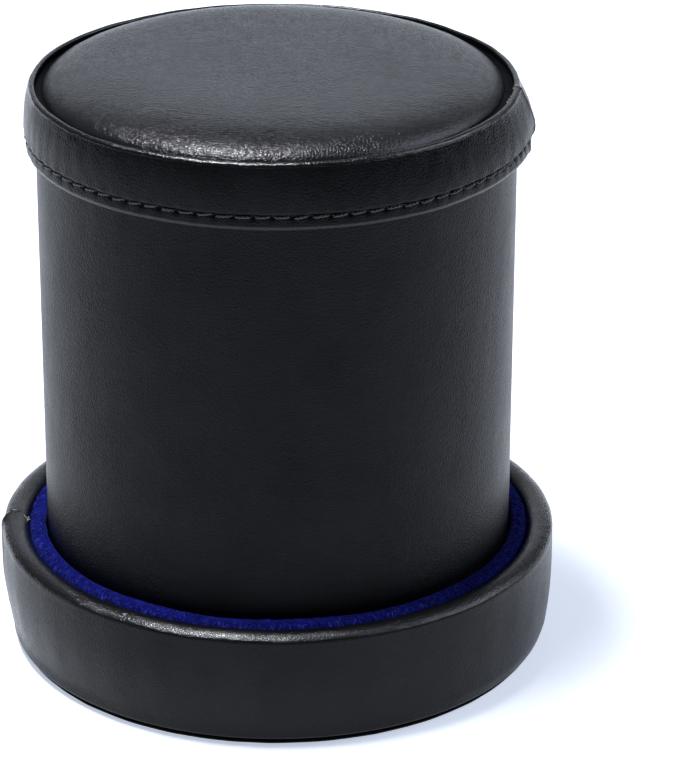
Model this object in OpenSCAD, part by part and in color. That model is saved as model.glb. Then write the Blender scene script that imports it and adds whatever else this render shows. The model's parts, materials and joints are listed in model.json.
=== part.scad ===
// Leather dice cup that stands mouth down in a padded tray, with a slip-over padded lid on its closed end.
// Millimetres, +Z up, origin at the centre of the tray's underside.

/* [Cup] */
// Outside diameter of the cup
cup_d = 80; // [60:1:110]
// Height of the cup from mouth to upper lip
cup_h = 88.1; // [70:0.1:140]
// Thickness of the card tube
tube_wall = 2.3; // [1.5:0.1:4]
// Depth of the dice compartment under the lid
compartment_h = 17; // [14:1:25]
// How far the leather is turned in at the mouth
mouth_turn = 8; // [4:1:12]

/* [Lid] */
// Width of the lid's padded band, measured from its bore
band_w = 1.7; // [1.6:0.1:3]
// How far the band hangs down past the cup's upper lip
band_drop = 7.4; // [6.5:0.1:12]
// Height of the rolled rim above the cup's upper lip
rim_rise = 3.7; // [3.5:0.1:6]
// Rise of the padded crown from its own edge
crown_h = 4.5; // [2:0.1:8]
// Distance between stitches
stitch_pitch = 3.1; // [2.4:0.1:5]
// Length of one stitch
stitch_l = 2.2; // [1:0.1:2.2]

/* [Tray] */
// Height of the tray at the crest of its rim
tray_h = 21.1; // [18:0.1:30]
// Height of the flannel floor above the table
floor_h = 8; // [7:0.5:10]
// Width of the flannel ring round the cup
liner_w = 2.7; // [2.2:0.1:4]
// Width of the padded leather wall outside the flannel
wall_w = 4.6; // [3.4:0.1:6]
// Thickness of the sole
sole_h = 1.2; // [0.8:0.1:2]

/* [Materials] */
// Thickness of the leather on the cup, the tray and the pad
leather_t = 0.8; // [0.6:0.1:1]
// Thickness of the leather on the lid's band
band_leather_t = 0.6; // [0.4:0.1:0.6]
// Thickness of the flannel
flannel_t = 0.75; // [0.5:0.05:0.8]

/* [Hidden] */

$fn = 96;
leather = "#17181a";
thread = "#050506";
flannel = "#1b2c9c";
card = "#a48f72";
board = "#8a7a66";
foam = "#c9c6bb";
rubber = "#26241f";

// Air between the cup and what it slips into, and the gap at rest under the cup and the lid
cup_gap = 0.3;
lid_gap = 0.2;
rest_gap = 0.05;
arc_steps = 10;

// Cup
cup_r = cup_d / 2;
tube_r = cup_r - leather_t;
bore_r = tube_r - tube_wall;
lined_r = bore_r - flannel_t;
cup_z0 = floor_h + rest_gap;
cup_z1 = cup_z0 + cup_h - rest_gap;
lip_r = 0.6;
upper_turn = 6;
partition_t = 2.5;
end_foam_t = 1.5;
compartment_z = cup_z1 - compartment_h;
partition_z1 = compartment_z - flannel_t;
partition_z0 = partition_z1 - partition_t;
end_foam_z = partition_z0 - end_foam_t;
end_z = end_foam_z - flannel_t;
mouth_z1 = cup_z0 + leather_t + mouth_turn;

// Lid
lid_bore_r = cup_r + lid_gap;
band_r = lid_bore_r + band_w;
band_in_r = band_r - band_leather_t;
hem_leather_t = 0.4;
hoop_in_r = lid_bore_r + hem_leather_t;
lining_z = cup_z1 + rest_gap;
board_z = lining_z + flannel_t - 0.05;
board_t = 1.5;
seat_z = board_z + board_t;
board_r = hoop_in_r - 0.1;
hem_z = cup_z1 - band_drop;
rim_z = cup_z1 + rim_rise;
rim_r = band_r - 1.9;
roll_r = 0.75;
flange_t = 0.4;
belly_z = hem_z + 3.8;
stitch_z = hem_z + 2.7;
hem_round = 0.7;
roll_out_r = 1.2;
roll_turn = 13;
side_top_z = rim_z - roll_out_r * (1 - sin(roll_turn));
side_lean = band_r - rim_r - roll_out_r * cos(roll_turn);
hoop_out_r = band_in_r - 0.05 - side_lean * pow((board_z - belly_z) / (side_top_z - belly_z), 2);
stitch_r = 0.22;
stitch_count = round(360 / (stitch_pitch / band_r * 180 / PI));
seam_in_r = band_r - 0.55;
pad_gap = 0.9;
pad_r = rim_r - roll_r - pad_gap;
flange_r = pad_r + 0.1;
crown_power = 6;

// Tray
liner_in_r = cup_r + cup_gap;
liner_out_r = liner_in_r + liner_w;
tray_r = liner_out_r + wall_w;
tray_foot_r = tray_r - 1.15;
foot_r = 0.8;
belly_w = tray_r - tray_foot_r;
shoulder_h = 2.5;
roll_share = 0.5;
roll_in_r = roll_share * wall_w;
crest_r = liner_out_r + roll_in_r;
base_t = 2;
base_z = sole_h + leather_t;
base_top = base_z + base_t;
base_r = tray_foot_r - foot_r - 0.2;
tray_hoop_in_r = liner_out_r + leather_t;
tray_hoop_top = tray_h - roll_in_r - 0.3;
turn_in_r = base_r - 9;
leather_leg_z = base_top + 5;
shoulder_z = tray_h - shoulder_h;
belly_top = shoulder_z - 4.5;
liner_top = tray_h - 0.5;
liner_round = 1.1;
floor_card_t = 1.2;

// Points on an elliptical arc in the profile plane
function arc(c, rx, rz, a0, a1) = [
    for (i = [0 : arc_steps])
        let (a = a0 + (a1 - a0) * i / arc_steps)
        [c[0] + rx * cos(a), c[1] + rz * sin(a)]
];

// Points down or up the tray's slightly bulged wall, set in by the depth given
function wall(inset, from, to) = [
    for (i = [0 : arc_steps])
        let (u = from + (to - from) * i / arc_steps)
        [tray_foot_r - inset + belly_w * sin(90 * u), base_z + (belly_top - base_z) * u]
];

// Points down the band's side, which leans in towards its crest, set in by the depth given
function side(inset, from, to) = [
    for (i = [0 : arc_steps])
        let (u = from + (to - from) * i / arc_steps)
        [band_r - inset - side_lean * u * u, belly_z + (side_top_z - belly_z) * u]
];

// Points on the pad's crown from its middle to its edge, for a disc of radius r and rise h
function crown(r, h) = [
    for (i = [0 : 2 * arc_steps])
        let (x = sin(90 * i / (2 * arc_steps)))
        [r * x, seat_z + h * sqrt(1 - pow(x, crown_power))]
];

// A list of points in the opposite order
function reversed(p) = [for (i = [len(p) - 1 : -1 : 0]) p[i]];

module turned(points) {
    rotate_extrude()
        polygon(points);
}

module ring(r_in, r_out, z0, z1) {
    turned([[r_in, z0], [r_out, z0], [r_out, z1], [r_in, z1]]);
}

module disc(r, z0, z1) {
    translate([0, 0, z0])
        cylinder(r = r, h = z1 - z0);
}

module tray_sole() {
    color(rubber)
        disc(tray_foot_r - 1, 0, sole_h);
}

module tray_base_board() {
    color(board)
        disc(base_r, base_z, base_top);
}

module tray_hoop() {
    color(card)
        ring(tray_hoop_in_r, base_r, base_top, tray_hoop_top);
}

module tray_padding() {
    inner_top = [crest_r, tray_h - roll_in_r];
    color(foam)
        turned(concat(
            [[tray_hoop_in_r, tray_hoop_top]],
            arc(inner_top, roll_in_r - leather_t, roll_in_r - leather_t, 180, 90),
            arc([crest_r, shoulder_z], tray_r - crest_r - leather_t, shoulder_h - leather_t, 85, 0),
            wall(leather_t, 1, 0),
            [[base_r, base_z], [base_r, tray_hoop_top]]
        ));
}

module tray_leather() {
    inner_top = [crest_r, tray_h - roll_in_r];
    color(leather)
        turned(concat(
            [[turn_in_r, sole_h]],
            arc([tray_foot_r - foot_r, base_z], foot_r, leather_t, -90, -5),
            wall(0, 0, 1),
            arc([crest_r, shoulder_z], tray_r - crest_r, shoulder_h, 0, 90),
            arc(inner_top, roll_in_r, roll_in_r, 95, 180),
            [[liner_out_r, leather_leg_z], [tray_hoop_in_r, leather_leg_z]],
            arc(inner_top, roll_in_r - leather_t, roll_in_r - leather_t, 180, 90),
            arc([crest_r, shoulder_z], tray_r - crest_r - leather_t, shoulder_h - leather_t, 85, 0),
            wall(leather_t, 1, 0),
            [[turn_in_r, base_z]]
        ));
}

module tray_liner_hoop() {
    color(card)
        ring(liner_in_r + flannel_t, liner_out_r - flannel_t, base_top, liner_top - flannel_t);
}

module tray_liner_flannel() {
    color(flannel)
        turned(concat(
            [[liner_in_r, base_top]],
            arc([liner_in_r + liner_w / 2, liner_top - liner_round], liner_w / 2, liner_round, 180, 0),
            [[liner_out_r, base_top], [liner_out_r - flannel_t, base_top]],
            [[liner_out_r - flannel_t, liner_top - flannel_t]],
            [[liner_in_r + flannel_t, liner_top - flannel_t], [liner_in_r + flannel_t, base_top]]
        ));
}

module tray_floor_card() {
    color(card)
        disc(liner_in_r, base_top, base_top + floor_card_t);
}

module tray_floor_foam() {
    color(foam)
        disc(liner_in_r, base_top + floor_card_t, floor_h - flannel_t);
}

module tray_floor_flannel() {
    color(flannel)
        disc(liner_in_r, floor_h - flannel_t, floor_h);
}

module cup_tube() {
    color(card)
        ring(bore_r, tube_r, cup_z0 + leather_t, cup_z1 - leather_t);
}

module cup_leather() {
    in_r = bore_r - leather_t;
    color(leather)
        turned(concat(
            [[in_r, mouth_z1]],
            arc([in_r + lip_r, cup_z0 + lip_r], lip_r, lip_r, 180, 270),
            arc([cup_r - lip_r, cup_z0 + lip_r], lip_r, lip_r, 270, 360),
            arc([cup_r - lip_r, cup_z1 - lip_r], lip_r, lip_r, 0, 90),
            arc([in_r + lip_r, cup_z1 - lip_r], lip_r, lip_r, 90, 180),
            [[in_r, cup_z1 - upper_turn], [bore_r, cup_z1 - upper_turn]],
            [[bore_r, cup_z1 - leather_t], [tube_r, cup_z1 - leather_t]],
            [[tube_r, cup_z0 + leather_t], [bore_r, cup_z0 + leather_t], [bore_r, mouth_z1]]
        ));
}

module cup_lining() {
    color(flannel)
        ring(lined_r, bore_r, mouth_z1, end_z);
}

module cup_partition() {
    color(board)
        disc(bore_r, partition_z0, partition_z1);
}

module cup_end_foam() {
    color(foam)
        disc(bore_r, end_foam_z, partition_z0);
}

module cup_end_flannel() {
    color(flannel)
        disc(bore_r, end_z, end_foam_z);
}

module compartment_floor() {
    color(flannel)
        disc(bore_r, partition_z1, compartment_z);
}

module compartment_lining() {
    color(flannel)
        ring(lined_r, bore_r, compartment_z, cup_z1 - upper_turn);
}

module lid_board() {
    color(board)
        disc(board_r, board_z, seat_z);
}

module lid_hoop() {
    color(card)
        ring(hoop_in_r, hoop_out_r, stitch_z + 0.8, board_z);
}

module lid_rim_padding() {
    skin = band_leather_t;
    color(foam)
        turned(concat(
            [[rim_r - roll_r + skin, seat_z]],
            arc([rim_r, rim_z - roll_r], roll_r - skin, roll_r - skin, 180, 90),
            arc([rim_r, rim_z - roll_out_r], roll_out_r - skin, roll_out_r - skin, 80, roll_turn + 12),
            side(skin, 0.95, 0),
            [[band_in_r, stitch_z + 0.8], [hoop_out_r, stitch_z + 0.8]],
            [[hoop_out_r, board_z], [board_r, board_z], [board_r, seat_z]]
        ));
}

module lid_band() {
    skin = band_leather_t;
    color(leather)
        turned(concat(
            [[flange_r, seat_z], [flange_r, seat_z + flange_t], [rim_r - roll_r, seat_z + flange_t]],
            arc([rim_r, rim_z - roll_r], roll_r, roll_r, 180, 90),
            arc([rim_r, rim_z - roll_out_r], roll_out_r, roll_out_r, 80, roll_turn),
            side(0, 0.95, 0),
            arc([seam_in_r, belly_z], band_r - seam_in_r, belly_z - stitch_z - 0.2, -5, -90),
            arc([band_r - 0.75, hem_z + hem_round], 0.45, 2, 60, 5),
            arc([band_r - 0.75, hem_z + hem_round], 0.45, hem_round, 0, -90),
            arc([lid_bore_r + 0.3, hem_z + 0.3], 0.3, 0.3, 270, 180),
            [[lid_bore_r, lining_z - 0.15], [hoop_in_r, lining_z - 0.15]],
            [[hoop_in_r, stitch_z + 0.8], [band_in_r, stitch_z + 0.8]],
            side(skin, 0, 0.95),
            arc([rim_r, rim_z - roll_out_r], roll_out_r - skin, roll_out_r - skin, roll_turn + 12, 80),
            arc([rim_r, rim_z - roll_r], roll_r - skin, roll_r - skin, 90, 180),
            [[rim_r - roll_r + skin, seat_z]]
        ));
}

module lid_stitching() {
    color(thread)
        for (i = [0 : stitch_count - 1])
            rotate([0, 0, i * 360 / stitch_count])
                translate([seam_in_r + stitch_r + 0.03, stitch_l / 2, stitch_z])
                    rotate([90, 0, 0])
                        cylinder(r = stitch_r, h = stitch_l, $fn = 24);
}

module lid_pad_foam() {
    color(foam)
        turned(concat([[0, seat_z]], reversed(crown(pad_r - leather_t, crown_h - leather_t))));
}

module lid_pad_leather() {
    color(leather)
        turned(concat(
            crown(pad_r, crown_h),
            reversed(crown(pad_r - leather_t, crown_h - leather_t))
        ));
}

module lid_lining() {
    color(flannel)
        disc(board_r, lining_z, board_z);
}

tray_sole();
tray_base_board();
tray_hoop();
tray_padding();
tray_leather();
tray_liner_hoop();
tray_liner_flannel();
tray_floor_card();
tray_floor_foam();
tray_floor_flannel();
cup_tube();
cup_leather();
cup_lining();
cup_partition();
cup_end_foam();
cup_end_flannel();
compartment_floor();
compartment_lining();
lid_board();
lid_hoop();
lid_rim_padding();
lid_band();
lid_stitching();
lid_pad_foam();
lid_pad_leather();
lid_lining();
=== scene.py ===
"""Looks of the leather dice cup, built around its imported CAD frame. Metres, +Z up, the viewer at -Y."""
import json
import math

import bpy
import numpy as np
from mathutils import Matrix, Vector


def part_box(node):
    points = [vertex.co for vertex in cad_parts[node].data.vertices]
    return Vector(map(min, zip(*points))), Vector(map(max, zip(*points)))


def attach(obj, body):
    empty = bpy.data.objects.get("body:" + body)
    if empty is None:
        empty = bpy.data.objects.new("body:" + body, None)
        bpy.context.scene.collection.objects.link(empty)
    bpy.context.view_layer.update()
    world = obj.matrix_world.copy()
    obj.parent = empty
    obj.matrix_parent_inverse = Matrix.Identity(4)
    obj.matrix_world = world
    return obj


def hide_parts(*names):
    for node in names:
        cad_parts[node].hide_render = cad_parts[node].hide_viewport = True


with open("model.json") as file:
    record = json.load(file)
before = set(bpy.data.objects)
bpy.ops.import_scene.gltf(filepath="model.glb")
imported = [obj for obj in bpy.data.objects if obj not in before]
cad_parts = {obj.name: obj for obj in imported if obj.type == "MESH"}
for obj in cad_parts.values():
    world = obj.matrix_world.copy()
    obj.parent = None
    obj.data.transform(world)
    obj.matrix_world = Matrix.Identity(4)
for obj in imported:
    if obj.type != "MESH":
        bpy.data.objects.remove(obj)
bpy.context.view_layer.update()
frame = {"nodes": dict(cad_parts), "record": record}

MM = 0.001
TAU = 2 * math.pi
# A point nearer the axis than this is on it
ON_AXIS = 1e-7
# Room left between a filling and the skin over it
SLACK = 0.1 * MM
# Leather of the pad, cup and tray, and the thinner leather of the band
SKIN = 0.8 * MM
BAND_SKIN = 0.6 * MM

# ---------------------------------------------------------------- sizes, taken from the frame


def low(node):
    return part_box(node)[0]


def high(node):
    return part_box(node)[1]


def low_r(node):
    """Smallest distance from the axis that a CAD node reaches."""
    corners = np.array([v.co for v in frame["nodes"][node].data.vertices])
    return float(np.hypot(corners[:, 0], corners[:, 1]).min())


cup_r = high("cup_leather").x
cup_z0 = low("cup_leather").z
cup_z1 = high("cup_leather").z
band_r = high("lid_band").x
hem_z = low("lid_band").z
rim_z = high("lid_band").z
stitch_z = (low("lid_stitching").z + high("lid_stitching").z) / 2
seat_z = low("lid_pad_leather").z
pad_top_z = high("lid_pad_leather").z
pad_r = high("lid_pad_leather").x
tray_r = high("tray_leather").x
tray_top_z = high("tray_leather").z
tray_foot_z = low("tray_leather").z
liner_in_r = high("tray_floor_flannel").x
liner_out_r = high("tray_liner_flannel").x
liner_top_z = high("tray_liner_flannel").z

# Where the leather's ends lap, as an azimuth from +X
LID_SEAM = math.radians(-5)
TRAY_SEAM = math.radians(180)
CUP_SEAM = math.radians(90)
# Angles for a lap's mesh: half the slit, the finely divided stretch, and its columns
SEAM_SLIT = 0.0004
SEAM_FINE = 0.06
SEAM_COLUMNS = 16
# Angles over which a lap's edge curls, and over which the mesh leans with a slanting lap
LAP_CURL = 0.012
LEAN_REACH = 0.35
# Faces that meet at more than this stay crisp
SHARP_EDGE = math.radians(55)
# The pale raw edge along a lap
BEAD_R = 0.05 * MM

# ---------------------------------------------------------------- camera and light

SENSOR = 36.0
LENS = 171.849412
CAMERA_BACK = 0.5719
CAMERA_UP = 0.2970
CAMERA_YAW = math.radians(1.056)
CAMERA_DIP = math.radians(23.776)
CAMERA_ROLL = math.radians(0.207)


def add_camera():
    """The camera stands on the -Y side, turned by yaw, then dipped, then rolled."""
    yaw, dip, roll = CAMERA_YAW, CAMERA_DIP, CAMERA_ROLL
    ahead = Vector((math.sin(yaw) * math.cos(dip), math.cos(yaw) * math.cos(dip), -math.sin(dip)))
    right = Vector((math.cos(yaw), -math.sin(yaw), 0))
    up = right.cross(ahead)
    rolled_right = math.cos(roll) * right + math.sin(roll) * up
    rolled_up = math.cos(roll) * up - math.sin(roll) * right
    data = bpy.data.cameras.new("camera")
    data.sensor_width = SENSOR
    data.lens = LENS
    data.clip_start = 0.01
    data.clip_end = 20
    turn = Matrix((rolled_right, rolled_up, -ahead)).transposed().to_4x4()
    camera = bpy.data.objects.new("camera", data)
    camera.matrix_world = Matrix.Translation((0, -CAMERA_BACK, CAMERA_UP)) @ turn
    bpy.context.scene.collection.objects.link(camera)
    bpy.context.scene.camera = camera


# The point that every softbox faces
AIM = Vector((0, 0, 0.05))
# Name, azimuth and elevation in degrees seen from there, distance, width, height, power, colour
SOFTBOXES = (
    ("back_low", 90, 16, 1.30, 1.15, 0.42, 1.68, (0.84, 0.90, 1.00)),
    ("overhead", 186, 78, 1.00, 0.30, 0.22, 14.0, (0.90, 0.94, 1.00)),
    ("right_fill", 5, 36, 1.20, 0.80, 0.60, 5.0, (0.80, 0.86, 1.00)),
)
WORLD_FRONT = 0.03
WORLD_BACK = 0.14
WORLD_TINT = (0.80, 0.87, 1.00)
# The floor is a sheet of paper lit from below, as on a product table
FLOOR_HALF = 3.0
FLOOR_PAPER = (0.84, 0.84, 0.85, 1)
FLOOR_TINT = (0.76, 0.84, 1.0, 1)
FLOOR_GLOW = 0.62


def add_softbox(name, azimuth, elevation, distance, width, height, power, colour):
    a, e = math.radians(azimuth), math.radians(elevation)
    towards = Vector((math.cos(a) * math.cos(e), math.sin(a) * math.cos(e), math.sin(e)))
    data = bpy.data.lights.new(name, "AREA")
    data.shape = "RECTANGLE"
    data.size = width
    data.size_y = height
    data.energy = power
    data.color = colour
    box = bpy.data.objects.new(name, data)
    box.location = AIM + towards * distance
    box.rotation_euler = (-towards).to_track_quat("-Z", "Y").to_euler()
    bpy.context.scene.collection.objects.link(box)


def add_world():
    """A studio that is dark on the viewer's side and light behind the object."""
    world = bpy.data.worlds.new("studio")
    world.use_nodes = True
    nodes, links = world.node_tree.nodes, world.node_tree.links
    place = nodes.new("ShaderNodeTexCoord")
    apart = nodes.new("ShaderNodeSeparateXYZ")
    links.new(place.outputs["Generated"], apart.inputs["Vector"])
    spread = math_node(nodes, links, "MULTIPLY_ADD", apart.outputs["Y"], 0.5)
    spread.node.inputs[2].default_value = 0.5
    front = tuple(WORLD_FRONT * c for c in WORLD_TINT)
    back = tuple(WORLD_BACK * c for c in WORLD_TINT)
    shade = ramp(nodes, links, spread, ((0.30, front), (0.75, back)))
    links.new(shade, nodes["Background"].inputs["Color"])
    bpy.context.scene.world = world
    bpy.context.scene.view_settings.view_transform = "Standard"


def add_floor():
    corners = [(x * FLOOR_HALF, y * FLOOR_HALF, 0) for x, y in ((-1, -1), (1, -1), (1, 1), (-1, 1))]
    mesh = bpy.data.meshes.new("floor")
    mesh.from_pydata(corners, [], [(0, 1, 2, 3)])
    floor = bpy.data.objects.new("floor", mesh)
    bpy.context.scene.collection.objects.link(floor)
    material, nodes, links, surface = new_material("floor_paper")
    surface.inputs["Base Color"].default_value = FLOOR_PAPER
    surface.inputs["Roughness"].default_value = 0.9
    surface.inputs["Emission Color"].default_value = FLOOR_TINT
    surface.inputs["Emission Strength"].default_value = FLOOR_GLOW
    mesh.materials.append(material)


# ---------------------------------------------------------------- materials


def new_material(name):
    material = bpy.data.materials.new(name)
    material.use_nodes = True
    nodes = material.node_tree.nodes
    return material, nodes, material.node_tree.links, nodes["Principled BSDF"]


def node(nodes, kind, **values):
    """A new node, with its inputs set by name, where an underscore stands for a space."""
    made = nodes.new(kind)
    for key, value in values.items():
        made.inputs[key.replace("_", " ")].default_value = value
    return made


def ramp(nodes, links, source, stops):
    """A colour ramp fed by source, with stops of (position, grey or colour)."""
    made = nodes.new("ShaderNodeValToRGB")
    while len(made.color_ramp.elements) < len(stops):
        made.color_ramp.elements.new(0.5)
    for element, (place, colour) in zip(made.color_ramp.elements, stops):
        element.position = place
        element.color = (*colour, 1) if hasattr(colour, "__len__") else (colour, colour, colour, 1)
    links.new(source, made.inputs["Fac"])
    return made.outputs["Color"]


def mapped(nodes, links, scale=(1, 1, 1)):
    """Object coordinates in millimetres, stretched by scale."""
    place = nodes.new("ShaderNodeTexCoord")
    stretch = nodes.new("ShaderNodeMapping")
    stretch.inputs["Scale"].default_value = [1000 * s for s in scale]
    links.new(place.outputs["Object"], stretch.inputs["Vector"])
    return stretch.outputs["Vector"]


def math_node(nodes, links, operation, a, b):
    made = nodes.new("ShaderNodeMath")
    made.operation = operation
    for socket, value in zip(made.inputs, (a, b)):
        if isinstance(value, (int, float)):
            socket.default_value = value
        else:
            links.new(value, socket)
    return made.outputs["Value"]


def leather(name, colour, grain, relief, rough, specular, burnish=None):
    """Dyed leather: pebbled cells of the given grain and relief in mm, fine pores, and an uneven finish.
    rough is the least and most roughness. burnish is (start, end, share): between these heights the
    finish gets smoother, down to that share."""
    material, nodes, links, surface = new_material(name)
    at = mapped(nodes, links)
    cells = node(nodes, "ShaderNodeTexVoronoi", Scale=1 / grain)
    cells.feature = "DISTANCE_TO_EDGE"
    warp = node(nodes, "ShaderNodeTexNoise", Scale=1.3 / grain, Detail=2.0)
    links.new(at, warp.inputs["Vector"])
    bent = nodes.new("ShaderNodeVectorMath")
    bent.operation = "MULTIPLY_ADD"
    bent.inputs[1].default_value = (0.35 * grain,) * 3
    links.new(warp.outputs["Color"], bent.inputs[0])
    links.new(at, bent.inputs[2])
    links.new(bent.outputs[0], cells.inputs["Vector"])
    pebble = ramp(nodes, links, cells.outputs["Distance"], ((0.0, 0.0), (0.12, 0.45), (0.5, 1.0)))
    pores = node(nodes, "ShaderNodeTexNoise", Scale=2.6, Detail=3.0, Roughness=0.6)
    links.new(at, pores.inputs["Vector"])
    uneven = node(nodes, "ShaderNodeTexNoise", Scale=0.45, Detail=3.0)
    links.new(at, uneven.inputs["Vector"])
    deep_pores = math_node(nodes, links, "MULTIPLY", pores.outputs["Fac"], 1.1)
    swell = math_node(nodes, links, "MULTIPLY", uneven.outputs["Fac"], 1.2)
    height = math_node(nodes, links, "ADD", math_node(nodes, links, "ADD", pebble, deep_pores), swell)
    bump = node(nodes, "ShaderNodeBump", Strength=1.0, Distance=relief * MM)
    links.new(height, bump.inputs["Height"])
    links.new(bump.outputs["Normal"], surface.inputs["Normal"])
    wear = node(nodes, "ShaderNodeTexNoise", Scale=0.09, Detail=5.0, Roughness=0.6)
    links.new(at, wear.inputs["Vector"])
    dark = tuple(0.75 * c for c in colour)
    light = tuple(1.35 * c + 0.001 for c in colour)
    base_tone = ramp(nodes, links, wear.outputs["Fac"], ((0.3, dark), (0.7, light)))
    links.new(base_tone, surface.inputs["Base Color"])
    finish = ramp(nodes, links, wear.outputs["Fac"], ((0.3, rough[1]), (0.7, rough[0])))
    if burnish:
        start, end, share = burnish
        height_at = nodes.new("ShaderNodeSeparateXYZ")
        links.new(at, height_at.inputs["Vector"])
        reach = {"From_Min": start / MM, "From_Max": end / MM, "To_Min": 1.0, "To_Max": share}
        polish = node(nodes, "ShaderNodeMapRange", **reach)
        links.new(height_at.outputs["Z"], polish.inputs["Value"])
        finish = math_node(nodes, links, "MULTIPLY", finish, polish.outputs["Result"])
    links.new(finish, surface.inputs["Roughness"])
    surface.inputs["Specular IOR Level"].default_value = specular
    return material


def flannel(name, colour):
    """Brushed flannel: short nap with a soft sheen. Its colour follows the nap's height, darker in the
    hollows and paler on the tufts: painted shade and highlight over the cloth's own uneven blue.
    """
    material, nodes, links, surface = new_material(name)
    at = mapped(nodes, links)
    nap = node(nodes, "ShaderNodeTexNoise", Scale=2.6, Detail=6.0, Roughness=0.72)
    links.new(at, nap.inputs["Vector"])
    tufts = node(nodes, "ShaderNodeTexNoise", Scale=0.8, Detail=3.0)
    links.new(at, tufts.inputs["Vector"])
    soft_tufts = math_node(nodes, links, "MULTIPLY", tufts.outputs["Fac"], 0.6)
    both = math_node(nodes, links, "ADD", nap.outputs["Fac"], soft_tufts)
    height = math_node(nodes, links, "MULTIPLY", both, 0.62)
    # The colour follows the nap's height: painted shade in its hollows and painted highlight on its tufts,
    # over the cloth's uneven blue
    deep = tuple(0.25 * c for c in colour)
    pale = tuple(min(1.0, 2.6 * c + 0.006) for c in colour)
    base_tone = ramp(nodes, links, height, ((0.34, deep), (0.50, colour), (0.66, pale)))
    links.new(base_tone, surface.inputs["Base Color"])
    bump = node(nodes, "ShaderNodeBump", Strength=1.0, Distance=0.25 * MM)
    links.new(height, bump.inputs["Height"])
    links.new(bump.outputs["Normal"], surface.inputs["Normal"])
    surface.inputs["Roughness"].default_value = 0.95
    surface.inputs["Specular IOR Level"].default_value = 0.15
    surface.inputs["Sheen Weight"].default_value = 0.12
    surface.inputs["Sheen Roughness"].default_value = 0.45
    surface.inputs["Sheen Tint"].default_value = (0.12, 0.20, 1.0, 1)
    return material


def raw_edge(name, colour):
    """The cut edge of leather or card: matt and fibrous."""
    material, nodes, links, surface = new_material(name)
    at = mapped(nodes, links, (1, 1, 3))
    fibre = node(nodes, "ShaderNodeTexNoise", Scale=3.5, Detail=6.0, Roughness=0.7)
    links.new(at, fibre.inputs["Vector"])
    dark = tuple(0.6 * c for c in colour)
    light = tuple(min(1.0, 1.4 * c) for c in colour)
    streaks = ramp(nodes, links, fibre.outputs["Fac"], ((0.35, dark), (0.65, light)))
    links.new(streaks, surface.inputs["Base Color"])
    bump = node(nodes, "ShaderNodeBump", Strength=0.8, Distance=0.08 * MM)
    links.new(fibre.outputs["Fac"], bump.inputs["Height"])
    links.new(bump.outputs["Normal"], surface.inputs["Normal"])
    surface.inputs["Roughness"].default_value = 0.85
    surface.inputs["Specular IOR Level"].default_value = 0.25
    return material


def waxed_thread(name, colour):
    """Twisted thread with a dull wax on it. Its colour is paler where its fibres stand up: painted highlight
    over the thread's own uneven tone.
    """
    material, nodes, links, surface = new_material(name)
    at = mapped(nodes, links)
    ply = node(nodes, "ShaderNodeTexNoise", Scale=5.0, Detail=3.0)
    links.new(at, ply.inputs["Vector"])
    # Paler where the ply noise stands up: painted highlight on the raised fibres
    light = tuple(2.0 * c for c in colour)
    streaks = ramp(nodes, links, ply.outputs["Fac"], ((0.35, colour), (0.65, light)))
    links.new(streaks, surface.inputs["Base Color"])
    bump = node(nodes, "ShaderNodeBump", Strength=0.6, Distance=0.03 * MM)
    links.new(ply.outputs["Fac"], bump.inputs["Height"])
    links.new(bump.outputs["Normal"], surface.inputs["Normal"])
    surface.inputs["Roughness"].default_value = 0.38
    return material


# Heights between which handling has polished the leather, and the roughness left
RIM_POLISH = (rim_z - 2 * MM, rim_z - 0.8 * MM, 0.6)
TRAY_POLISH = (tray_top_z - 3 * MM, tray_top_z - 1 * MM, 0.6)
BAND_DYE = (0.0035, 0.0035, 0.0040)
TRAY_DYE = (0.0045, 0.0045, 0.0052)

MATERIALS = {
    "pad": leather("pad_leather", (0.009, 0.009, 0.010), 0.50, 0.042, (0.19, 0.23), 0.49),
    "band": leather("band_leather", BAND_DYE, 0.54, 0.048, (0.25, 0.30), 0.095, RIM_POLISH),
    # A copy of the band leather with about seven times its reflection: a painted highlight along the crest.
    # Its smoother roughness there is the polish of handling.
    "band_crest_highlight": leather("band_crest_highlight_leather", BAND_DYE, 0.46, 0.033, (0.25, 0.30), 0.70, RIM_POLISH),
    # A copy of the band leather with stronger reflection on the hem: a painted highlight along its lower
    # edge
    "band_hem_highlight": leather("band_hem_highlight_leather", BAND_DYE, 0.46, 0.036, (0.28, 0.33), 0.26),
    "cup": leather("cup_leather", (0.0042, 0.0042, 0.0050), 0.56, 0.060, (0.31, 0.37), 0.082),
    "tray": leather("tray_leather", TRAY_DYE, 0.46, 0.044, (0.26, 0.32), 0.110, TRAY_POLISH),
    # A copy of the tray leather with raised reflection: a painted highlight along the rim. Its smoother
    # roughness there is the polish of handling.
    "tray_crest_highlight": leather("tray_crest_highlight_leather", TRAY_DYE, 0.46, 0.036, (0.26, 0.32), 0.60, TRAY_POLISH),
    # A copy of the band leather with almost no reflection, inside the crest: painted shade in the valley
    # round the pad
    "valley_shade": leather("valley_shade_leather", BAND_DYE, 0.46, 0.036, (0.45, 0.50), 0.01),
    "edge": raw_edge("leather_edge", (0.11, 0.105, 0.10)),
    "flannel": flannel("blue_flannel", (0.0010, 0.0026, 0.100)),
    "lint": flannel("blue_lint", (0.045, 0.065, 0.38)),
    "fibre": raw_edge("pale_fibre", (0.50, 0.47, 0.42)),
    "card": raw_edge("grey_card", (0.38, 0.31, 0.22)),
    "board": raw_edge("pressed_board", (0.27, 0.22, 0.16)),
    "foam": raw_edge("white_foam", (0.62, 0.60, 0.54)),
    "rubber": raw_edge("sole_rubber", (0.022, 0.020, 0.018)),
    "thread": waxed_thread("black_thread", (0.016, 0.016, 0.017)),
}

# ---------------------------------------------------------------- mesh kit


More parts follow.
